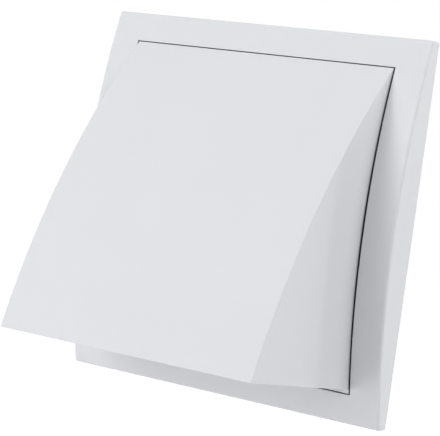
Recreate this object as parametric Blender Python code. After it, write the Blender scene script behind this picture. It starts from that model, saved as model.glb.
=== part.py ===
"""Hooded wall vent with a gravity backdraft flap, moulded in white plastic for a round duct.

The wall face of the frame is the plane Y = 0 and the duct's axis is the Y axis. Up is +Z, and the
hood faces -Y. Points are worked out as (x, out, up): out is the distance in front of the wall,
and up is the height above the duct's axis. Side outlines are lists of (out, up) pairs.
"""

from math import acos, asin, atan2, cos, hypot, pi, radians, sin, sqrt, tan

import bmesh
import bpy
from mathutils import Vector

# Duct spigot, behind the wall face
SPIGOT_OUTER = 0.0980
SPIGOT_WALL = 0.0020
SPIGOT_LENGTH = 0.0340
SPIGOT_TAPER = 0.0006
SPIGOT_CHAMFER = 0.0006

# Square frame with a bowed face: room is from the spigot to the opening, and border from the
# opening to the frame's edge
SIDE_ROOM = 0.0129
END_ROOM = 0.0143
SIDE_BORDER = 0.0131
END_BORDER = 0.0117
FRAME_EDGE = 0.0048
FRAME_BULGE = 0.0098
FRAME_WALL = 0.0020
FRAME_ROUND = 0.0009
RIM_ROUND = 0.0003
RIB_THICKNESS = 0.0014
RIB_PITCH = 0.0250
FEWEST_BAYS = 3

# Hood
HOOD_WALL = 0.0022
HOOD_REACH = 0.0745
LIP_RISE = 0.0062
UNDERSIDE_RISE = 0.0015
PANEL_BULGE = 0.0072
SIDE_DRAFT = radians(1.2)
BAR_HEIGHT = 0.0017
BAR_SETBACK = 0.0006
HOOD_ROUND = 0.0004

# Seam round the hood, and how far the hood's rim is set back below the frame's face
SIDE_SEAM = 0.0010
END_SEAM = 0.0004
RIM_SETBACK = 0.0009
RIM_START = 0.0004

# Snap fingers in the sides of the hood
FINGER_WIDTH = 0.0090
FINGER_LENGTH = 0.0060
FINGER_SLIT = 0.0009
SNAP_FOOT = 0.0006
SNAP_DEPTH = 0.0034
SNAP_HEIGHT = 0.0018
SNAP_LAND = 0.0009

# Flap and the tilted seat that it closes on
SEAT_TILT = radians(4.0)
SEAT_RISE = 0.0015
FLAP_THICKNESS = 0.0012
FLAP_LAP = 0.0013
BEAD_WIDTH = 0.0012
BEAD_HEIGHT = 0.0007
FLAP_RIB_X = 0.0150

# Hinge of the flap
HINGE_RISE = 0.0045
HINGE_HALF_SPAN = 0.0310
TRUNNION_RADIUS = 0.0015
TRUNNION_END = 0.0010
EAR_THICKNESS = 0.0022
EAR_WALL = 0.0016
EAR_MOUTH = 0.0026

# Stubs inside the hood that stop the open flap
STOP_HEIGHT = 0.0040
STOP_LENGTH = 0.0120
STOP_THICKNESS = 0.0016
STOP_X = 0.0200

# Fixing screws and their bosses
SCREW_INSET = 0.0105
SCREW_RADIUS = 0.0020
SCREW_LENGTH = 0.0300
SCREW_TIP = 0.0050
HEAD_RADIUS = 0.0040
HEAD_HEIGHT = 0.0025
HEAD_RIM = 0.0011
RECESS_WIDTH = 0.0010
RECESS_SPAN = 0.0044
RECESS_DEPTH = 0.0013
BOSS_RADIUS = 0.0055
BOSS_HEIGHT = 0.0010
BOSS_CHAMFER = 0.0003

# Clearances: faces that rest on each other, the trunnion in its bore, and loose fits
SEAT_GAP = 0.0003
BORE_GAP = 0.0002
SIDE_GAP = 0.0004

# Facets, and how far a cutter runs past what it cuts
FACE_STEPS = 24
BORDER_STEPS = 4
PANEL_STEPS = 36
POCKET_STEPS = 4
ROUND_STEPS = 120
SMALL_STEPS = 28
CROWN_STEPS = 5
BEVEL_STEPS = 3
RIM_TURNS = [radians(angle) for angle in (0, 25, 50, 75)]
SHARP_ANGLE = radians(28)
OVERCUT = 0.0010
MERGE = 1e-6

# Sizes that follow from the ones above
SPIGOT_RADIUS = SPIGOT_OUTER / 2
BORE_RADIUS = SPIGOT_RADIUS - SPIGOT_WALL
OPENING_X = SPIGOT_RADIUS + SIDE_ROOM
OPENING_Z = SPIGOT_RADIUS + END_ROOM
FRAME_X = OPENING_X + SIDE_BORDER
FRAME_Z = OPENING_Z + END_BORDER
WELL_X = OPENING_X + FRAME_WALL
WELL_Z = OPENING_Z + FRAME_WALL
INSIDE_X = FRAME_X - FRAME_WALL
INSIDE_Z = FRAME_Z - FRAME_WALL
HOOD_X = OPENING_X - SIDE_SEAM
HOOD_Z = OPENING_Z - END_SEAM
HOOD_FOOT = FRAME_WALL + SEAT_GAP
SNAP_START = HOOD_FOOT + SNAP_FOOT
SNAP_END = SNAP_START + SNAP_DEPTH
HINGE_UP = SPIGOT_RADIUS + HINGE_RISE
HINGE_BORE = TRUNNION_RADIUS + BORE_GAP
EAR_RADIUS = HINGE_BORE + EAR_WALL
EAR_X = HINGE_HALF_SPAN + SIDE_GAP
BOSS_TOP = FRAME_WALL + BOSS_HEIGHT


class Arc:
    """A circular arc of (out, up) points that bulges away from the wall."""

    def __init__(self, start, end, bulge):
        chord = Vector(end) - Vector(start)
        half = chord.length / 2
        self.radius = (half**2 + bulge**2) / (2 * bulge)
        inward = Vector((chord.y, -chord.x)).normalized()
        if inward.x > 0:
            inward.negate()
        self.centre = (Vector(start) + Vector(end)) / 2 + inward * (self.radius - bulge)

    def out_at(self, up, offset=0.0):
        """How far out the arc is at a height, when it is moved outwards by offset."""
        return self.centre.x + sqrt((self.radius + offset) ** 2 - (up - self.centre.y) ** 2)

    def points(self, start_up, end_up, steps, offset=0.0):
        """Evenly spread points along the arc between two heights."""
        radius = self.radius + offset
        first = asin((start_up - self.centre.y) / radius)
        last = asin((end_up - self.centre.y) / radius)
        angles = [first + (last - first) * i / steps for i in range(steps + 1)]
        return [(self.centre.x + radius * cos(a), self.centre.y + radius * sin(a)) for a in angles]


FACE = Arc((FRAME_EDGE, -FRAME_Z), (FRAME_EDGE, FRAME_Z), FRAME_BULGE)
LIP_UP = LIP_RISE - HOOD_Z
PANEL = Arc((FACE.out_at(HOOD_Z), HOOD_Z), (HOOD_REACH, LIP_UP), PANEL_BULGE)
BAR_FRONT = FACE.out_at(-HOOD_Z)
OPENING_UPS = [up for out, up in FACE.points(-OPENING_Z, OPENING_Z, FACE_STEPS)]
BORDER_UPS = [up for out, up in FACE.points(OPENING_Z, FRAME_Z, BORDER_STEPS)][1:]


def seat_out(up):
    """The plane of the flap's seat, which is further out at the bottom."""
    return FRAME_WALL + SEAT_RISE + (SPIGOT_RADIUS - up) * tan(SEAT_TILT)


HINGE_OUT = seat_out(HINGE_UP) + (SEAT_GAP + TRUNNION_RADIUS) / cos(SEAT_TILT)
FLAP_RADIUS = SPIGOT_RADIUS + FLAP_LAP
FLAP_BACK = -TRUNNION_RADIUS
FLAP_FRONT = FLAP_BACK + FLAP_THICKNESS
FLAP_DROP = HINGE_UP * cos(SEAT_TILT) + (seat_out(0) - HINGE_OUT) * sin(SEAT_TILT)
STOP_REACH = FLAP_DROP + sqrt(FLAP_RADIUS**2 - STOP_X**2) - 2 * BEAD_WIDTH


def open_angle():
    """Lean of the open flap from the vertical, with its tip STOP_HEIGHT short of the panel."""
    across = PANEL.centre - Vector((HINGE_OUT, HINGE_UP))
    limit = PANEL.radius - HOOD_WALL - STOP_HEIGHT
    reach = across.length
    between = acos((reach**2 + STOP_REACH**2 - limit**2) / (2 * reach * STOP_REACH))
    tip_angle = atan2(across.y, across.x) + between
    return (tip_angle + pi / 2) % (2 * pi)


FLAP_OPEN = open_angle()


def bays(low, high):
    """Equal pockets with a rib between each two, as (low, high) pairs that fill a length."""
    count = max(FEWEST_BAYS, round((high - low) / RIB_PITCH))
    width = (high - low - RIB_THICKNESS * (count - 1)) / count
    starts = [low + i * (width + RIB_THICKNESS) for i in range(count)]
    return [(start, start + width) for start in starts]


SIDE_BAYS = bays(-INSIDE_Z, INSIDE_Z)
END_BAYS = bays(-OPENING_X, OPENING_X)
FINGER_UPS = [sum(SIDE_BAYS[1]) / 2, sum(SIDE_BAYS[-2]) / 2]
SCREW_X = OPENING_X - SCREW_INSET
SCREW_Z = OPENING_Z - SCREW_INSET
SCREW_PLACES = [(x, z) for z in (SCREW_Z, -SCREW_Z) for x in (-SCREW_X, SCREW_X)]


def principled(name, colour, roughness, metallic=0.0):
    material = bpy.data.materials.new(name)
    material.use_nodes = True
    shader = material.node_tree.nodes["Principled BSDF"]
    shader.inputs["Base Color"].default_value = (*colour, 1.0)
    shader.inputs["Roughness"].default_value = roughness
    shader.inputs["Metallic"].default_value = metallic
    material.diffuse_color = (*colour, 1.0)
    return material


def at(x, out, up):
    return (x, -out, up)


def circle(radius, steps, centre=(0.0, 0.0)):
    angles = [2 * pi * i / steps for i in range(steps)]
    return [(centre[0] + radius * cos(a), centre[1] + radius * sin(a)) for a in angles]


def add_loft(builder, sections, ring=False):
    """Skins sections of equally many points, and caps both ends or closes them into a ring."""
    rows = [[builder.verts.new(point) for point in section] for section in sections]
    pairs = list(zip(rows, rows[1:]))
    if ring:
        pairs.append((rows[-1], rows[0]))
    else:
        builder.faces.new(rows[0])
        builder.faces.new(rows[-1])
    for one, two in pairs:
        for i in range(len(one)):
            j = (i + 1) % len(one)
            builder.faces.new((one[i], one[j], two[j], two[i]))
    return rows


def add_prism(builder, outline, left, right):
    """Draws an (out, up) outline out along X. A side is an x, or a function of out."""
    sides = [side if callable(side) else lambda out, x=side: x for side in (left, right)]
    return add_loft(builder, [[at(side(out), out, up) for out, up in outline] for side in sides])


def add_box(builder, low, high):
    """A box between two (x, out, up) corners."""
    outline = [(low[1], low[2]), (high[1], low[2]), (high[1], high[2]), (low[1], high[2])]
    return add_prism(builder, outline, low[0], high[0])


def add_turned(builder, profile, steps, centre=(0.0, 0.0)):
    """Turns a profile of (radius, out) pairs about an axis that stands on the wall."""
    sections = [[at(x, out, z) for x, z in circle(radius, steps, centre)] for radius, out in profile]
    rows = add_loft(builder, sections)
    if profile[0][0] == 0 or profile[-1][0] == 0:
        bmesh.ops.remove_doubles(builder, verts=builder.verts[:], dist=MERGE)
    return rows


def edges_along(path):
    return [
        next(edge for edge in one.link_edges if edge.other_vert(one) == two)
        for one, two in zip(path, path[1:])
    ]


def round_edges(builder, edges, radius):
    bmesh.ops.recalc_face_normals(builder, faces=builder.faces)
    bmesh.ops.bevel(
        builder,
        geom=edges,
        offset=radius,
        offset_type="OFFSET",
        segments=BEVEL_STEPS,
        profile=0.5,
        affect="EDGES",
        clamp_overlap=True,
    )


def object_from(name, builder):
    bmesh.ops.recalc_face_normals(builder, faces=builder.faces)
    mesh = bpy.data.meshes.new(name)
    builder.to_mesh(mesh)
    builder.free()
    made = bpy.data.objects.new(name, mesh)
    bpy.context.scene.collection.objects.link(made)
    return made


def combine(operation, target, builder):
    """Applies a Boolean with the separate shapes in builder."""
    tool = object_from("tool", builder)
    modifier = target.modifiers.new(operation, "BOOLEAN")
    modifier.operation = operation
    modifier.solver = "EXACT"
    modifier.object = tool
    bpy.context.view_layer.update()
    graph = bpy.context.evaluated_depsgraph_get()
    result = bpy.data.meshes.new_from_object(target.evaluated_get(graph))
    target.modifiers.remove(modifier)
    before = target.data
    target.data = result
    bpy.data.meshes.remove(before)
    bpy.data.objects.remove(tool, do_unlink=True)


def join(target, builder):
    combine("UNION", target, builder)


def cut(target, builder):
    combine("DIFFERENCE", target, builder)


def finish(target, material):
    """Gives the piece its material and shades its curves smooth."""
    mesh = target.data
    mesh.name = target.name
    mesh.materials.clear()
    mesh.materials.append(material)
    mesh.shade_smooth()
    mesh.set_sharp_from_angle(angle=SHARP_ANGLE)
    return target


def bowed_block():
    """The whole frame as one solid: a flat back and a bowed face with rounded edges."""
    builder = bmesh.new()
    ups = [-up for up in reversed(BORDER_UPS)] + OPENING_UPS + BORDER_UPS
    outline = [(0.0, FRAME_Z), (0.0, -FRAME_Z), *((FACE.out_at(up), up) for up in ups)]
    left, right = add_prism(builder, outline, -FRAME_X, FRAME_X)
    rim = edges_along([*left[2:], *reversed(right[2:]), left[2]])
    corners = [edge for row in (left, right) for edge in edges_along([row[1], row[2]])]
    corners += [edge for row in (left, right) for edge in edges_along([row[0], row[-1]])]
    round_edges(builder, rim + corners, FRAME_ROUND)
    return builder


def frame_pockets():
    """The hollows behind the face, between the frame's edge, the opening's wall and the ribs."""
    builder = bmesh.new()
    columns = [(-INSIDE_X, -WELL_X), (WELL_X, INSIDE_X)]
    rows = [(-INSIDE_Z, -WELL_Z), (WELL_Z, INSIDE_Z)]
    pockets = [(column, bay) for column in columns for bay in SIDE_BAYS]
    pockets += [(bay, row) for row in rows for bay in END_BAYS]
    for (left, right), (low, high) in pockets:
        skin = FACE.points(low, high, POCKET_STEPS, -FRAME_WALL)
        add_prism(builder, [(-OVERCUT, high), (-OVERCUT, low), *skin], left, right)
    return builder


def opening_well():
    """The opening that takes the hood, down to the bulkhead, with a rounded rim."""
    builder = bmesh.new()
    rim = [(RIM_ROUND * (1 - cos(turn)), RIM_ROUND * (sin(turn) - 1)) for turn in RIM_TURNS]
    grown, lift = rim[-1]
    rim.append((grown + (OVERCUT - lift) * tan(RIM_TURNS[-1]), OVERCUT))

    def section(grown, out_at):
        ups = [OPENING_UPS[0] - grown, *OPENING_UPS[1:-1], OPENING_UPS[-1] + grown]
        x = OPENING_X + grown
        right = [at(x, out_at(up), up) for up in ups]
        left = [at(-x, out_at(up), up) for up in reversed(ups)]
        return right + left

    sections = [section(0.0, lambda up: FRAME_WALL)]
    for grown, lift in rim:
        sections.append(section(grown, lambda up, lift=lift: FACE.out_at(up) + lift))
    add_loft(builder, sections)
    return builder


def spigot_plug():
    """The spigot behind the wall face and the flap's seat in front of it, not yet bored."""
    builder = bmesh.new()
    end = -SPIGOT_LENGTH
    profile = [
        (SPIGOT_RADIUS - SPIGOT_TAPER - SPIGOT_CHAMFER, end),
        (SPIGOT_RADIUS - SPIGOT_TAPER, end + SPIGOT_CHAMFER),
        (SPIGOT_RADIUS, 0.0),
        (SPIGOT_RADIUS, FRAME_WALL + SEAT_RISE),
    ]
    seat = add_turned(builder, profile, ROUND_STEPS)[-1]
    for vertex in seat:
        vertex.co.y = -seat_out(vertex.co.z)
    return builder


def ears_and_bosses():
    """Two hinge ears and four screw bosses, which stand on the bulkhead."""
    builder = bmesh.new()
    root = FRAME_WALL / 2
    half_turn = [pi * i / (SMALL_STEPS // 2) for i in range(SMALL_STEPS // 2 + 1)]
    nose = [(HINGE_OUT + EAR_RADIUS * sin(a), HINGE_UP + EAR_RADIUS * cos(a)) for a in half_turn]
    outline = [(root, HINGE_UP + EAR_RADIUS), *nose, (root, HINGE_UP - EAR_RADIUS)]
    for side in (-1, 1):
        add_prism(builder, outline, side * EAR_X, side * (EAR_X + EAR_THICKNESS))
    boss = [
        (BOSS_RADIUS, root),
        (BOSS_RADIUS, BOSS_TOP - BOSS_CHAMFER),
        (BOSS_RADIUS - BOSS_CHAMFER, BOSS_TOP),
    ]
    for place in SCREW_PLACES:
        add_turned(builder, boss, SMALL_STEPS, place)
    return builder


def keyhole():
    """The trunnion's bore and the flared mouth in front of it that the trunnion snaps through."""
    half = asin(EAR_MOUTH / 2 / HINGE_BORE)
    angles = [half + 2 * (pi - half) * i / SMALL_STEPS for i in range(SMALL_STEPS + 1)]
    bore = [(HINGE_OUT + HINGE_BORE * cos(a), HINGE_UP + HINGE_BORE * sin(a)) for a in angles]
    front = HINGE_OUT + EAR_RADIUS + OVERCUT
    return [(front, HINGE_UP + EAR_RADIUS), *bore, (front, HINGE_UP - EAR_RADIUS)]


def base_holes():
    """The duct's bore, the hinge bores, the screw holes and the windows for the snap fingers."""
    builder = bmesh.new()
    front = seat_out(-SPIGOT_RADIUS) + OVERCUT
    bore = [(BORE_RADIUS, -SPIGOT_LENGTH - OVERCUT), (BORE_RADIUS, front)]
    add_turned(builder, bore, ROUND_STEPS)
    ears = EAR_X + EAR_THICKNESS + OVERCUT
    add_prism(builder, keyhole(), -ears, ears)
    radius = SCREW_RADIUS + SEAT_GAP
    for place in SCREW_PLACES:
        hole = [(radius, -OVERCUT), (radius, BOSS_TOP + OVERCUT)]
        add_turned(builder, hole, SMALL_STEPS, place)
    half = FINGER_WIDTH / 2 + SEAT_GAP
    for up in FINGER_UPS:
        for side in (-1, 1):
            low = (side * (OPENING_X - SIDE_SEAM / 2), SNAP_START - SEAT_GAP, up - half)
            high = (side * (WELL_X + OVERCUT), SNAP_END + SEAT_GAP, up + half)
            add_box(builder, low, high)
    return builder


def make_base(material):
    """Frame, bulkhead, spigot, flap seat, hinge ears and screw bosses, in one moulding."""
    base = object_from("base_frame", bowed_block())
    cut(base, frame_pockets())
    cut(base, opening_well())
    join(base, spigot_plug())
    join(base, ears_and_bosses())
    cut(base, base_holes())
    return finish(base, material)


def hood_sides(inset):
    """The hood's two sides, moved in by inset. They draw together towards the lip."""
    return [lambda out, s=s: s * (HOOD_X - inset - out * tan(SIDE_DRAFT)) for s in (-1, 1)]


def hood_block():
    """The hood's outside as one solid, with rounded edges along its panel, sides and lip."""
    builder = bmesh.new()
    outline = [
        (BAR_FRONT, -HOOD_Z),
        (HOOD_FOOT, -HOOD_Z),
        (HOOD_FOOT, HOOD_Z),
        *PANEL.points(HOOD_Z, LIP_UP, PANEL_STEPS),
        (BAR_FRONT, UNDERSIDE_RISE - HOOD_Z),
    ]
    left, right = (row[3:] for row in add_prism(builder, outline, *hood_sides(0.0)))
    lip = edges_along([left[-2], right[-2]])
    round_edges(builder, edges_along(left) + edges_along(right) + lip, HOOD_ROUND)
    return builder


def hood_hollow():
    """The inside of the hood, open towards the wall and below, with a bar left at the bottom."""
    builder = bmesh.new()
    top, below = HOOD_Z - HOOD_WALL, -HOOD_Z - OVERCUT
    bar = (BAR_FRONT - BAR_SETBACK, BAR_HEIGHT - HOOD_Z)
    outline = [
        (HOOD_FOOT - OVERCUT, top),
        *PANEL.points(top, below, PANEL_STEPS, -HOOD_WALL),
        (bar[0], below),
        bar,
        (HOOD_FOOT - OVERCUT, bar[1]),
    ]
    rows = add_prism(builder, outline, *hood_sides(HOOD_WALL))
    left, right = (row[1 : PANEL_STEPS + 2] for row in rows)
    top = edges_along([left[0], right[0]])
    round_edges(builder, edges_along(left) + edges_along(right) + top, HOOD_ROUND)
    return builder


def rim_setback():
    """What the hood's sides lose below the frame's face, which leaves a deep dark seam."""
    builder = bmesh.new()
    end = HOOD_Z + OVERCUT
    start = HOOD_FOOT - OVERCUT
    outline = [(start, end), (start, -end), *FACE.points(-end, end, FACE_STEPS, -RIM_START)]
    for side, inner in zip((-1, 1), hood_sides(RIM_SETBACK)):
        add_prism(builder, outline, inner, side * (HOOD_X + OVERCUT))
    return builder


def snaps_and_stops():
    """A wedge on each snap finger, and the stubs on the panel that the open flap rests on."""
    builder = bmesh.new()
    side_x = hood_sides(RIM_SETBACK)[1](SNAP_START)
    root, crest = side_x - (HOOD_WALL - RIM_SETBACK) / 2, HOOD_X + SNAP_HEIGHT
    wedge = [
        (root, SNAP_START),
        (side_x, SNAP_START),
        (crest, SNAP_END - SNAP_LAND),
        (crest, SNAP_END),
        (root, SNAP_END),
    ]
    for up in FINGER_UPS:
        for side in (-1, 1):
            ends = (up - FINGER_WIDTH / 2, up + FINGER_WIDTH / 2)
            add_loft(builder, [[at(side * x, out, end) for x, out in wedge] for end in ends])
    down = Vector((sin(FLAP_OPEN), -cos(FLAP_OPEN)))
    ahead = Vector((cos(FLAP_OPEN), sin(FLAP_OPEN)))
    face = Vector((HINGE_OUT, HINGE_UP)) + ahead * (FLAP_FRONT + BEAD_HEIGHT + SEAT_GAP)
    high, low = face + down * (STOP_REACH - STOP_LENGTH), face + down * STOP_REACH
    seated = [(PANEL.out_at(end.y, -HOOD_WALL / 2), end.y) for end in (low, high)]
    for x in (-STOP_X, STOP_X):
        half = STOP_THICKNESS / 2
        add_prism(builder, [tuple(high), tuple(low), *seated], x - half, x + half)
    return builder


def finger_slits():
    """Two slits beside each snap finger, through the hood's sides from their back edge."""
    builder = bmesh.new()
    inner = hood_sides(HOOD_WALL)[1](HOOD_FOOT + FINGER_LENGTH) - OVERCUT
    for up in FINGER_UPS:
        for low in (up - FINGER_WIDTH / 2 - FINGER_SLIT, up + FINGER_WIDTH / 2):
            for side in (-1, 1):
                near = (side * inner, HOOD_FOOT - OVERCUT, low)
                far = (side * (HOOD_X + OVERCUT), HOOD_FOOT + FINGER_LENGTH, low + FINGER_SLIT)
                add_box(builder, near, far)
    return builder


def make_hood(material):
    """Curved panel, two drafted sides and the rim that snaps into the frame's opening."""
    hood = object_from("hood", hood_block())
    cut(hood, hood_hollow())
    cut(hood, rim_setback())
    join(hood, snaps_and_stops())
    cut(hood, finger_slits())
    return finish(hood, material)


def flap_plate():
    """A disc with a straight-sided tab up to the hinge. The hinge's axis is the origin."""
    builder = bmesh.new()
    corner = asin(HINGE_HALF_SPAN / FLAP_RADIUS)
    angles = [corner + 2 * (pi - corner) * i / ROUND_STEPS for i in range(ROUND_STEPS + 1)]
    disc = [(FLAP_RADIUS * sin(a), FLAP_RADIUS * cos(a) - FLAP_DROP) for a in angles]
    outline = [(-HINGE_HALF_SPAN, 0.0), (HINGE_HALF_SPAN, 0.0), *disc]
    add_loft(builder, [[at(x, out, up) for x, up in outline] for out in (FLAP_BACK, FLAP_FRONT)])
    return builder


def flap_bead():
    """A raised ring on the front of the flap, near its edge."""
    builder = bmesh.new()
    low, high = FLAP_FRONT - FLAP_THICKNESS / 2, FLAP_FRONT + BEAD_HEIGHT
    outer, inner = FLAP_RADIUS - BEAD_WIDTH, FLAP_RADIUS - 2 * BEAD_WIDTH
    section = [(outer, low), (outer, high), (inner, high), (inner, low)]
    centre = (0.0, -FLAP_DROP)
    rings = [
        [at(x, out, up) for x, up in circle(radius, ROUND_STEPS, centre)] for radius, out in section
    ]
    add_loft(builder, rings, ring=True)
    return builder


def flap_ribs():
    """Two ribs from the hinge bar down to the bead."""
    builder = bmesh.new()
    middle = FLAP_RADIUS - 1.5 * BEAD_WIDTH
    low, high = FLAP_FRONT - FLAP_THICKNESS / 2, FLAP_FRONT + BEAD_HEIGHT
    end = sqrt(middle**2 - FLAP_RIB_X**2) - FLAP_DROP
    for x in (-FLAP_RIB_X, FLAP_RIB_X):
        add_box(builder, (x - BEAD_WIDTH / 2, low, end), (x + BEAD_WIDTH / 2, high, 0.0))
    return builder


def hinge_bar():
    """A round bar along the top of the flap. Its ends are the trunnions."""
    builder = bmesh.new()
    tip = EAR_X + EAR_THICKNESS + TRUNNION_END
    add_prism(builder, circle(TRUNNION_RADIUS, SMALL_STEPS), -tip, tip)
    return builder


def make_flap(material):
    """The light flap, which gravity swings shut on its tilted seat."""
    flap = object_from("backdraft_flap", flap_plate())
    join(flap, flap_bead())
    join(flap, flap_ribs())
    join(flap, hinge_bar())
    flap.location = at(0.0, HINGE_OUT, HINGE_UP)
    flap.rotation_euler = (-SEAT_TILT, 0.0, 0.0)
    return finish(flap, material)


def screw_blank():
    """A pointed shank and a pan head, whose underside is at out = 0."""
    builder = bmesh.new()
    quarter = [pi / 2 * i / CROWN_STEPS for i in range(CROWN_STEPS)]
    dome = HEAD_HEIGHT - HEAD_RIM
    crown = [(HEAD_RADIUS * sqrt(cos(a)), HEAD_RIM + dome * sin(a)) for a in quarter]
    shank = [(0.0, -SCREW_LENGTH), (SCREW_RADIUS, SCREW_TIP - SCREW_LENGTH), (SCREW_RADIUS, 0.0)]
    profile = [*shank, (HEAD_RADIUS, 0.0), *crown, (0.0, HEAD_HEIGHT)]
    add_turned(builder, profile, SMALL_STEPS)
    return builder


def cross_recess():
    """A cross-shaped prism in the top of the screw's head."""
    builder = bmesh.new()
    half, arm = RECESS_WIDTH / 2, RECESS_SPAN / 2
    outline = []
    for turn in ((1, 0), (0, 1), (-1, 0), (0, -1)):
        for x, z in ((arm, -half), (arm, half), (half, half)):
            outline.append((x * turn[0] - z * turn[1], x * turn[1] + z * turn[0]))
    outs = (HEAD_HEIGHT - RECESS_DEPTH, HEAD_HEIGHT + OVERCUT)
    add_loft(builder, [[at(x, out, z) for x, z in outline] for out in outs])
    return builder


def make_screws(material):
    """Four screws in the corners of the opening, on one mesh."""
    mesh = None
    for number, (x, z) in enumerate(SCREW_PLACES, 1):
        name = f"fixing_screw_{number}"
        if mesh is None:
            screw = object_from(name, screw_blank())
            cut(screw, cross_recess())
            mesh = finish(screw, material).data
        else:
            screw = bpy.data.objects.new(name, mesh)
            bpy.context.scene.collection.objects.link(screw)
        screw.location = at(x, BOSS_TOP + SEAT_GAP, z)


def main():
    for thing in list(bpy.data.objects):
        bpy.data.objects.remove(thing, do_unlink=True)
    make_base(principled("white_plastic", (0.80, 0.81, 0.83), 0.30))
    make_hood(principled("hood_plastic", (0.80, 0.81, 0.83), 0.25))
    make_flap(principled("flap_plastic", (0.76, 0.77, 0.79), 0.45))
    make_screws(principled("plated_steel", (0.60, 0.61, 0.62), 0.30, 1.0))


main()
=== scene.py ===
from math import copysign, cos, pi, radians, sin, sqrt, tan

import bmesh
import bpy
from mathutils import Matrix, Vector


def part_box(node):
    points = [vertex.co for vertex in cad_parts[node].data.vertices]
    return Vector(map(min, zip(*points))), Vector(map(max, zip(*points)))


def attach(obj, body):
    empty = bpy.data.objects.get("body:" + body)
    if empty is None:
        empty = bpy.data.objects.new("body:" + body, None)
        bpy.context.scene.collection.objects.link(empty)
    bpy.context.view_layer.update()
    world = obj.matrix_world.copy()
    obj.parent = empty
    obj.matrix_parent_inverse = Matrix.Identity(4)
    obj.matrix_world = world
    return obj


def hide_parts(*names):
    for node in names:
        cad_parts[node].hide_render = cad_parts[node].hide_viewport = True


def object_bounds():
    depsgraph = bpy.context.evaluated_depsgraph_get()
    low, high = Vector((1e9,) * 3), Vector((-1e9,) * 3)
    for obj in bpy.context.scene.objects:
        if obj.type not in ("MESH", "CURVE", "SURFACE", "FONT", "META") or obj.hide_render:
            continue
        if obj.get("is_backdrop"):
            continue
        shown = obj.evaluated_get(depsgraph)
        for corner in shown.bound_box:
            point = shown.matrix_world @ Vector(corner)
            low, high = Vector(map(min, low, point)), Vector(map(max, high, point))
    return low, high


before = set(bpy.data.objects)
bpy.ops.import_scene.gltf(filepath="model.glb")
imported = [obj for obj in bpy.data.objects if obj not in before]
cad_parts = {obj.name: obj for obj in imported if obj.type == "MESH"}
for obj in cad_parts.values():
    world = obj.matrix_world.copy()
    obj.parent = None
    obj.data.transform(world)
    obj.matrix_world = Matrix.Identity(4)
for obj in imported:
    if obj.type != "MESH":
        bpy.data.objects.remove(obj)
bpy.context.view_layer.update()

# The hooded wall vent: moulded edges, threaded screws, plastic and plated steel, and a studio.
# Lengths are in metres. Out is the distance in front of the wall, along -Y, and up is +Z.

# Copies of the moulded pieces, and the fillets on their sharp outer edges
WELD = 2e-7
FLAT_ANGLE = 0.002
RING_POINTS = 100
FILLET = 0.00015
FILLET_ROOM = 0.0010
FILLET_ANGLE = radians(50)
FILLET_STEPS = 2
FILLET_ROUND = 0.5
SMOOTH_ANGLE = radians(35)

# The frame's bowed face, as in the solids: how far out its upper and lower edges are, and its bulge
FRAME_HALF = 0.0750
FRAME_EDGE = 0.0048
FRAME_BULGE = 0.0098
BOW_RADIUS = (FRAME_HALF**2 + FRAME_BULGE**2) / (2 * FRAME_BULGE)
BOW_CENTRE = FRAME_EDGE + FRAME_BULGE - BOW_RADIUS

# Side walls of the opening and of the hood, as in the solids, and how near to them a point counts as
# on their rounded rims
OPENING_X = 0.0619
OPENING_Z = 0.0633
OPENING_RIM = 0.0004
HOOD_X = 0.0609
HOOD_REACH = 0.0745
HOOD_RIM = 0.0006
SIDE_DRAFT = radians(1.2)

# How far each edge of the side seams comes in. The frame's does so in front of INSET_START, and the
# hood's flare fades from the wall to nothing at the lip.
FRAME_INSET = 0.00015
INSET_START = 0.0015
HOOD_FLARE = 0.00045

# Screws: a pan head, as in the solids, with a cross recess. RECESS_TAPER is the size of its bottom as
# a share of that at the crown, and its cutter stands above the crown by RECESS_OVER of its depth.
HEAD_HEIGHT = 0.0025
HEAD_RIM = 0.0011
HEAD_RADIUS = 0.0040
HEAD_SIDES = 48
CROWN_STEPS = 10
RECESS_SPAN = 0.0046
RECESS_WIDTH = 0.0010
RECESS_DEPTH = 0.0015
RECESS_TAPER = 0.55
RECESS_OVER = 0.4

# The screws' shank, with its thread inside the solids' plain one, and how many degrees each is turned
SHANK_LENGTH = 0.0300
SHANK_SINK = 0.0004
TIP_LENGTH = 0.0050
THREAD_CREST = 0.00195
THREAD_ROOT = 0.00140
THREAD_PITCH = 0.0016
THREAD_ROWS = 6
THREAD_SIDES = 24
THREAD_FADE = 0.0015
SCREW_TURNS = {"1": 12, "2": 57, "3": 81, "4": 30}

# Plastic: the two tones that its clouding blends, its range of roughness, and its depth of grain
HOUSING_COLOURS = ((0.80, 0.81, 0.83, 1.0), (0.785, 0.797, 0.82, 1.0))
HOUSING_ROUGHNESS = (0.10, 0.14)
HOUSING_GRAIN = 0.000004
FLAP_COLOURS = ((0.76, 0.77, 0.79, 1.0), (0.74, 0.75, 0.775, 1.0))
FLAP_ROUGHNESS = (0.38, 0.48)
FLAP_GRAIN = 0.00003
PLASTIC_IOR = 1.48

# Noises of the plastic, each with its scale, detail and roughness, and the strengths of the bumps.
# The moulding tool's unevenness is UNEVEN_DEPTH times as deep as the grain.
PLASTIC_CLOUD = (22.0, 3.0, 0.5)
PLASTIC_HAZE = (140.0, 3.0, 0.6)
PLASTIC_FINE = (3200.0, 2.0, 0.6)
PLASTIC_UNEVEN = (45.0, 1.0, 0.5)
FINE_STRENGTH = 0.5
UNEVEN_STRENGTH = 0.4
UNEVEN_DEPTH = 4

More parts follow.
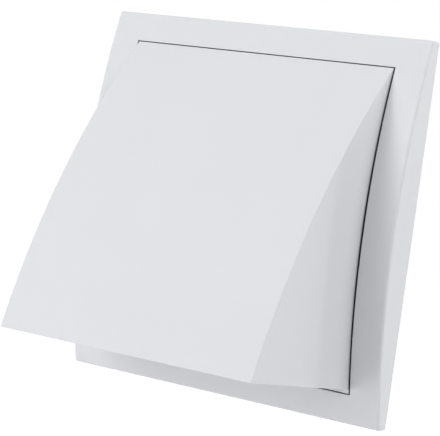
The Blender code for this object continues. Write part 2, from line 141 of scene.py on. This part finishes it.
# Zinc plate, in the same terms
ZINC_COLOURS = ((0.60, 0.61, 0.62, 1.0), (0.52, 0.53, 0.56, 1.0))
ZINC_ROUGHNESS = (0.24, 0.42)
ZINC_TONE = (420.0, 3.0, 0.5)
ZINC_GLOSS = (900.0, 4.0, 0.6)
ZINC_PICKLE = (5200.0, 3.0, 0.65)
ZINC_GRAIN = 0.00002

# Painted shade deep in narrow gaps, where the colour is darkened as shade falls there: how far round a
# point it looks, and the share of open directions at which the painted shade is full and at which it
# ends
PAINTED_SHADE_COLOUR = (0.16, 0.16, 0.165, 1.0)
PAINTED_SHADE_REACH = 0.006
PAINTED_SHADE_SAMPLES = 16
PAINTED_SHADE_OPENNESS = (0.12, 0.26)

# Most values of a noise lie between these
NOISE_LOW = 0.3
NOISE_HIGH = 0.7

# Camera, fitted to the photograph: its place, two of its directions, and its focal length in pixels
PHOTO_WIDTH = 440
SENSOR_WIDTH = 36.0
CAMERA_PLACE = Vector((0.41075, -0.62606, 0.03054))
CAMERA_RIGHT = Vector((0.81648, 0.56150, 0.13448))
CAMERA_BACK = Vector((0.56080, -0.82664, 0.04669))
FOCAL_PIXELS = 1854.4
CLIP_START = 0.05

# Studio: the floor, the strength of the even light, and for each lamp its azimuth and elevation in
# degrees, its distance from the target, its size, and its power in watts
FLOOR_HEIGHT = -0.30
FLOOR_SIZE = 8.0
FLOOR_COLOUR = (0.82, 0.82, 0.83, 1.0)
FLOOR_GLOW = 0.84
BACKGROUND_COLOUR = (1.0, 1.0, 1.0, 1.0)
AMBIENT = 0.2
LAMP_TARGET = Vector((0.0, -0.03, 0.0))
LAMPS = {
    "key": (-25, 5, 1.2, 0.7, 4.8),
    "key_high": (-25, 45, 1.2, 0.7, 3.0),
    "key_low": (-18, -10, 1.2, 0.2, 0.98),
    "fill_high": (60, 45, 1.2, 0.7, 3.0),
    "edge": (100, 5, 1.2, 0.7, 1.3),
    "edge_high": (100, 45, 1.2, 0.7, 3.8),
    "behind_right": (155, 10, 1.2, 0.5, 3.6),
    "behind_left": (-150, 0, 1.2, 0.5, 2.2),
}


def new_object(name, data=None):
    """An object in the scene, with the data given or else with an empty mesh."""
    made = bpy.data.objects.new(name, data or bpy.data.meshes.new(name))
    bpy.context.scene.collection.objects.link(made)
    return made


# Moulded pieces


def copy_solid(name):
    """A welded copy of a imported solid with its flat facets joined, ready for fillets."""
    builder = bmesh.new()
    builder.from_mesh(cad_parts[name].data)
    bmesh.ops.remove_doubles(builder, verts=builder.verts[:], dist=WELD)
    bmesh.ops.dissolve_limit(
        builder,
        angle_limit=FLAT_ANGLE,
        use_dissolve_boundaries=False,
        verts=builder.verts[:],
        edges=builder.edges[:],
        delimit=set(),
    )
    bmesh.ops.recalc_face_normals(builder, faces=builder.faces[:])
    return builder


def face_out(up):
    """How far out the frame's bowed face is at a height."""
    return BOW_CENTRE + sqrt(BOW_RADIUS**2 - up**2)


def inset_opening(builder):
    """Brings the sides of the frame's opening in, towards the hood."""
    for vertex in builder.verts:
        x, y, z = vertex.co
        on_side = OPENING_X - WELD < abs(x) < OPENING_X + OPENING_RIM
        if on_side and abs(z) < OPENING_Z + OPENING_RIM and -y > INSET_START:
            vertex.co.x -= copysign(FRAME_INSET, x)


def split_rings(builder):
    """Cuts flat rings with many points into triangles, which stay true when their edges move."""
    rings = [face for face in builder.faces if len(face.verts) > RING_POINTS]
    bmesh.ops.triangulate(builder, faces=rings)


def flare_hood(builder):
    """Spreads the hood's sides a little towards the frame, in front of the frame's face."""
    for vertex in builder.verts:
        x, y, z = vertex.co
        side = HOOD_X + y * tan(SIDE_DRAFT)
        if abs(x) > side - HOOD_RIM and -y > face_out(z) - HOOD_RIM:
            vertex.co.x += copysign(HOOD_FLARE * (1 + y / HOOD_REACH), x)


def fillet_edges(builder):
    """Rounds each sharp outer edge that has room for it."""
    def room(vertex):
        return min(edge.calc_length() for edge in vertex.link_edges)

    edges = [
        edge
        for edge in builder.edges
        if edge.is_manifold
        and edge.is_convex
        and edge.calc_face_angle() > FILLET_ANGLE
        and min(room(vertex) for vertex in edge.verts) > FILLET_ROOM
    ]
    bmesh.ops.bevel(
        builder,
        geom=edges,
        offset=FILLET,
        offset_type="OFFSET",
        segments=FILLET_STEPS,
        profile=FILLET_ROUND,
        affect="EDGES",
        clamp_overlap=False,
    )


def shade_mesh(mesh, material):
    """Gives the mesh its material, and smooth shading up to its sharp edges."""
    mesh.materials.append(material)
    mesh.shade_smooth()
    mesh.set_sharp_from_angle(angle=SMOOTH_ANGLE)


def moulding(name, builder, material):
    """The piece that the builder holds, shaded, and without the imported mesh's own normals."""
    piece = new_object(name)
    builder.normal_update()
    builder.to_mesh(piece.data)
    builder.free()
    piece.data.attributes.remove(piece.data.attributes["custom_normal"])
    shade_mesh(piece.data, material)
    normals = piece.modifiers.new("normals", "WEIGHTED_NORMAL")
    normals.keep_sharp = True
    return piece


# Screws


def closed_form(name, builder):
    """The closed form that the builder holds, with its faces turned outwards."""
    bmesh.ops.recalc_face_normals(builder, faces=builder.faces[:])
    form = new_object(name)
    builder.to_mesh(form.data)
    builder.free()
    return form


def combine(kept, tool, operation):
    """The mesh of the one form with the other cut from it or joined to it. Both are used up."""
    step = kept.modifiers.new("combine", "BOOLEAN")
    step.operation = operation
    step.solver = "EXACT"
    step.object = tool
    graph = bpy.context.evaluated_depsgraph_get()
    mesh = bpy.data.meshes.new_from_object(kept.evaluated_get(graph))
    for spare in (kept, tool):
        bpy.data.objects.remove(spare, do_unlink=True)
    return mesh


def ring_of(radius, out, sides):
    """Points of a circle round the screw's axis."""
    angles = [2 * pi * side / sides for side in range(sides)]
    return [(radius * cos(angle), -out, radius * sin(angle)) for angle in angles]


def cross_of(scale, out):
    """Points of the recess's outline, at a share of the size that it has at the crown."""
    half, arm = RECESS_WIDTH / 2 * scale, RECESS_SPAN / 2 * scale
    points = []
    for turn in ((1, 0), (0, 1), (-1, 0), (0, -1)):
        for x, z in ((arm, -half), (arm, half), (half, half)):
            points.append((x * turn[0] - z * turn[1], -out, x * turn[1] + z * turn[0]))
    return points


def skin(rows):
    """Joins rows of equally many points into a closed skin with capped ends."""
    builder = bmesh.new()
    rings = [[builder.verts.new(point) for point in row] for row in rows]
    builder.faces.new(rings[0])
    builder.faces.new(rings[-1])
    for near, far in zip(rings, rings[1:]):
        for here in range(len(near)):
            beside = (here + 1) % len(near)
            builder.faces.new((near[here], near[beside], far[beside], far[here]))
    return builder


def pan_head():
    """The plain head, with its underside at out = 0."""
    dome = HEAD_HEIGHT - HEAD_RIM
    crown = [pi / 2 * step / CROWN_STEPS for step in range(CROWN_STEPS)]
    profile = [(HEAD_RADIUS - FILLET, 0.0), (HEAD_RADIUS, FILLET)]
    profile += [(HEAD_RADIUS * sqrt(cos(rise)), HEAD_RIM + dome * sin(rise)) for rise in crown]
    rows = [ring_of(radius, out, HEAD_SIDES) for radius, out in profile]
    return closed_form("head", skin(rows))


def recess_cutter():
    """The tapered cross that is cut into the crown."""
    bottom = cross_of(RECESS_TAPER, HEAD_HEIGHT - RECESS_DEPTH)
    above = cross_of(1 + (1 - RECESS_TAPER) * RECESS_OVER, HEAD_HEIGHT + RECESS_DEPTH * RECESS_OVER)
    return closed_form("recess", skin([bottom, above]))


def thread_point(side, row):
    """A point of the shank. The first row of each turn is the thread's crest."""
    depth = THREAD_PITCH * (row / THREAD_ROWS + side / THREAD_SIDES - 1)
    depth = min(max(depth, 0.0), SHANK_LENGTH)
    crest = THREAD_CREST * min(1.0, sqrt((SHANK_LENGTH - depth) / TIP_LENGTH))
    root = THREAD_ROOT * min(1.0, (SHANK_LENGTH - depth) / TIP_LENGTH)
    height = (crest - root) * min(1.0, depth / THREAD_FADE) if row % THREAD_ROWS == 0 else 0.0
    angle = 2 * pi * side / THREAD_SIDES
    return ((root + height) * cos(angle), depth, (root + height) * sin(angle))


def threaded_shank():
    """A pointed shank with a helical thread. Its blunt end reaches a little way into the head.

    The rows begin a turn before the shank and end a turn after it, and what lies beyond is welded.
    """
    builder = bmesh.new()
    turns = round(SHANK_LENGTH / THREAD_PITCH) + 2
    columns = []
    for side in range(THREAD_SIDES):
        points = [thread_point(side, row) for row in range(turns * THREAD_ROWS + 1)]
        columns.append([builder.verts.new(point) for point in points])
    columns.append(columns[0][THREAD_ROWS:])
    for column, beside in zip(columns, columns[1:]):
        for here, after, across, ahead in zip(column, column[1:], beside, beside[1:]):
            builder.faces.new((here, after, ahead, across))
    bmesh.ops.remove_doubles(builder, verts=builder.verts[:], dist=WELD)
    bmesh.ops.dissolve_degenerate(builder, edges=builder.edges[:], dist=WELD)
    rim = [edge for edge in builder.edges if edge.is_boundary]
    for vertex in {vertex for edge in rim for vertex in edge.verts}:
        vertex.co.y = -SHANK_SINK
    bmesh.ops.holes_fill(builder, edges=rim)
    return closed_form("shank", builder)


def screw_mesh(material):
    """One screw along Y, with its head's underside at the origin."""
    head = new_object("head", combine(pan_head(), recess_cutter(), "DIFFERENCE"))
    mesh = combine(head, threaded_shank(), "UNION")
    mesh.name = "threaded_screw"
    shade_mesh(mesh, material)
    return mesh


# Materials


def new_material(name):
    """A material and its node tree."""
    material = bpy.data.materials.new(name)
    material.use_nodes = True
    return material, material.node_tree


def node(tree, kind, inputs=(), **settings):
    """A shader node with its settings, and with each input's value or the socket it takes."""
    made = tree.nodes.new(kind)
    for key, value in settings.items():
        setattr(made, key, value)
    for key, value in dict(inputs).items():
        if isinstance(value, bpy.types.NodeSocket):
            tree.links.new(value, made.inputs[key])
        else:
            made.inputs[key].default_value = value
    return made


def noise(tree, place, scale, detail, roughness):
    """The value of a noise texture at a place."""
    inputs = {"Vector": place, "Scale": scale, "Detail": detail, "Roughness": roughness}
    return node(tree, "ShaderNodeTexNoise", inputs).outputs["Fac"]


def spread(tree, value, low, high, start=NOISE_LOW, end=NOISE_HIGH):
    """Maps a value from start..end to low..high, and holds it there beyond them."""
    inputs = {"Value": value, "From Min": start, "From Max": end, "To Min": low, "To Max": high}
    return node(tree, "ShaderNodeMapRange", inputs).outputs["Result"]


def blend_colours(tree, factor, one, other):
    """The one colour where the factor is 0, and the other where it is 1."""
    inputs = {"Factor": factor, "A": one, "B": other}
    return node(tree, "ShaderNodeMix", inputs, data_type="RGBA").outputs["Result"]


def bump(tree, height, strength, distance, normal=None):
    """The normal of a bumpy surface, on top of another bump's normal if there is one."""
    inputs = {"Height": height, "Strength": strength, "Distance": distance}
    if normal:
        inputs["Normal"] = normal
    return node(tree, "ShaderNodeBump", inputs).outputs["Normal"]


def calculate(tree, operation, *values):
    """The result of a Math node with numbers or sockets."""
    return node(tree, "ShaderNodeMath", enumerate(values), operation=operation).outputs[0]


def surface(tree, colour, roughness, normal):
    """The material's shader, with what varies over the surface linked to it."""
    shader = tree.nodes["Principled BSDF"]
    tree.links.new(colour, shader.inputs["Base Color"])
    tree.links.new(roughness, shader.inputs["Roughness"])
    tree.links.new(normal, shader.inputs["Normal"])
    return shader


def painted_gap_shade(tree):
    """1 deep in a narrow gap between pieces or walls, where shade falls and is painted into the colour,
    and 0 in the open.
    """
    inputs = {"Distance": PAINTED_SHADE_REACH}
    openness = node(tree, "ShaderNodeAmbientOcclusion", inputs, samples=PAINTED_SHADE_SAMPLES).outputs["AO"]
    return spread(tree, openness, 1.0, 0.0, *PAINTED_SHADE_OPENNESS)


def moulded_plastic(name, colours, roughness, grain):
    """White moulded plastic: faint cloudiness, a fine grain, and a slight unevenness of the tool."""
    material, tree = new_material(name)
    place = node(tree, "ShaderNodeTexCoord").outputs["Object"]
    cloud = spread(tree, noise(tree, place, *PLASTIC_CLOUD), 0.0, 1.0)
    clean = blend_colours(tree, cloud, *colours)
    # Painted shade: the colour is darkened deep in narrow gaps, where shade falls.
    with_painted_shade = blend_colours(tree, painted_gap_shade(tree), clean, PAINTED_SHADE_COLOUR)
    haze = spread(tree, noise(tree, place, *PLASTIC_HAZE), *roughness)
    fine = bump(tree, noise(tree, place, *PLASTIC_FINE), FINE_STRENGTH, grain)
    tool = noise(tree, place, *PLASTIC_UNEVEN)
    uneven = bump(tree, tool, UNEVEN_STRENGTH, grain * UNEVEN_DEPTH, fine)
    surface(tree, with_painted_shade, haze, uneven).inputs["IOR"].default_value = PLASTIC_IOR
    return material


def plated_steel(name):
    """Bright zinc plate: small differences of tone and gloss, and a fine pickled grain."""
    material, tree = new_material(name)
    place = node(tree, "ShaderNodeTexCoord").outputs["Object"]
    tone = spread(tree, noise(tree, place, *ZINC_TONE), 0.0, 1.0)
    colour = blend_colours(tree, tone, *ZINC_COLOURS)
    gloss = spread(tree, noise(tree, place, *ZINC_GLOSS), *ZINC_ROUGHNESS)
    grain = bump(tree, noise(tree, place, *ZINC_PICKLE), FINE_STRENGTH, ZINC_GRAIN)
    surface(tree, colour, gloss, grain).inputs["Metallic"].default_value = 1.0
    return material


# Studio


def seen_directly(tree):
    """1 for rays that come straight from the camera or by way of gloss or glass, and else 0."""
    path = node(tree, "ShaderNodeLightPath").outputs
    mirrored = calculate(tree, "MAXIMUM", path["Is Glossy Ray"], path["Is Transmission Ray"])
    return calculate(tree, "MAXIMUM", path["Is Camera Ray"], mirrored)


def add_floor():
    """A plain pale floor. It looks white where it is lit, keeps the shadow, and has no underside."""
    mesh = bpy.data.meshes.new("floor")
    half = FLOOR_SIZE / 2
    corners = [(-half, -half), (half, -half), (half, half), (-half, half)]
    mesh.from_pydata([(x, y, FLOOR_HEIGHT) for x, y in corners], [], [(0, 1, 2, 3)])
    floor = new_object("floor", mesh)
    material, tree = new_material("pale_floor")
    tree.nodes.remove(tree.nodes["Principled BSDF"])
    lit = node(tree, "ShaderNodeBsdfDiffuse", {"Color": FLOOR_COLOUR}).outputs[0]
    glow = node(tree, "ShaderNodeEmission", {"Strength": FLOOR_GLOW}).outputs[0]
    bright = node(tree, "ShaderNodeAddShader", {0: lit, 1: glow}).outputs[0]
    top = node(tree, "ShaderNodeMixShader", {0: seen_directly(tree), 1: lit, 2: bright}).outputs[0]
    below = node(tree, "ShaderNodeNewGeometry").outputs["Backfacing"]
    clear = node(tree, "ShaderNodeBsdfTransparent").outputs[0]
    shown = node(tree, "ShaderNodeMixShader", {0: below, 1: top, 2: clear}).outputs[0]
    tree.links.new(shown, tree.nodes["Material Output"].inputs["Surface"])
    mesh.materials.append(material)
    floor.visible_shadow = False
    floor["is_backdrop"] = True


def add_world():
    """A white background, and an even light on everything."""
    world = bpy.data.worlds.new("studio")
    world.use_nodes = True
    bpy.context.scene.world = world
    tree = world.node_tree
    strength = node(tree, "ShaderNodeMapRange", {"Value": seen_directly(tree), "To Min": AMBIENT})
    background = tree.nodes["Background"]
    background.inputs["Color"].default_value = BACKGROUND_COLOUR
    tree.links.new(strength.outputs["Result"], background.inputs["Strength"])


def add_lamp(name, azimuth, elevation, distance, size, power):
    """A square soft light that faces the vent. Azimuth 0 is straight in front, and 90 is along +X."""
    lamp = new_object(name, bpy.data.lights.new(name, "AREA"))
    side, high = radians(azimuth), radians(elevation)
    way = Vector((sin(side) * cos(high), -cos(side) * cos(high), sin(high)))
    lamp.location = LAMP_TARGET + way * distance
    lamp.rotation_euler = way.to_track_quat("Z", "Y").to_euler()
    lamp.data.shape = "SQUARE"
    lamp.data.size = size
    lamp.data.energy = power
    lamp.visible_camera = False
    lamp.visible_glossy = False


# The pieces, each in the place of its solid

white = moulded_plastic("housing_plastic_fine", HOUSING_COLOURS, HOUSING_ROUGHNESS, HOUSING_GRAIN)
flap_white = moulded_plastic("flap_plastic_fine", FLAP_COLOURS, FLAP_ROUGHNESS, FLAP_GRAIN)
zinc = plated_steel("plated_steel_fine")

for source, new_name, body, material, slot, changes in (
    ("base_frame", "frame_moulding", "housing", white, "housing_plastic", (inset_opening, split_rings)),
    ("hood", "hood_moulding", "housing", white, "housing_plastic", (flare_hood,)),
    ("backdraft_flap", "flap_moulding", "flap", flap_white, "flap_plastic", ()),
):
    builder = copy_solid(source)
    for change in changes:
        change(builder)
    fillet_edges(builder)
    piece = moulding(new_name, builder, material)
    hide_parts(source)
    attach(piece, body)

screw = screw_mesh(zinc)
for number, turn in SCREW_TURNS.items():
    source = f"fixing_screw_{number}"
    low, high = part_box(source)
    piece = new_object(f"threaded_screw_{number}", screw)
    piece.location = ((low[0] + high[0]) / 2, low[1] + HEAD_HEIGHT, (low[2] + high[2]) / 2)
    piece.rotation_euler.y = radians(turn)
    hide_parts(source)
    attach(piece, "housing")

# Camera
right = CAMERA_RIGHT.normalized()
up = CAMERA_BACK.cross(right).normalized()
back = right.cross(up)
camera = new_object("camera", bpy.data.cameras.new("camera"))
rotation = Matrix((right, up, back)).transposed()
camera.matrix_world = Matrix.Translation(CAMERA_PLACE) @ rotation.to_4x4()
camera.data.sensor_width = SENSOR_WIDTH
camera.data.lens = FOCAL_PIXELS * SENSOR_WIDTH / PHOTO_WIDTH
camera.data.clip_start = CLIP_START
bpy.context.scene.camera = camera

# Floor, background and lamps
add_floor()
add_world()
for name, settings in LAMPS.items():
    add_lamp(name, *settings)
bpy.context.scene.view_settings.view_transform = "Standard"

low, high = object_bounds()
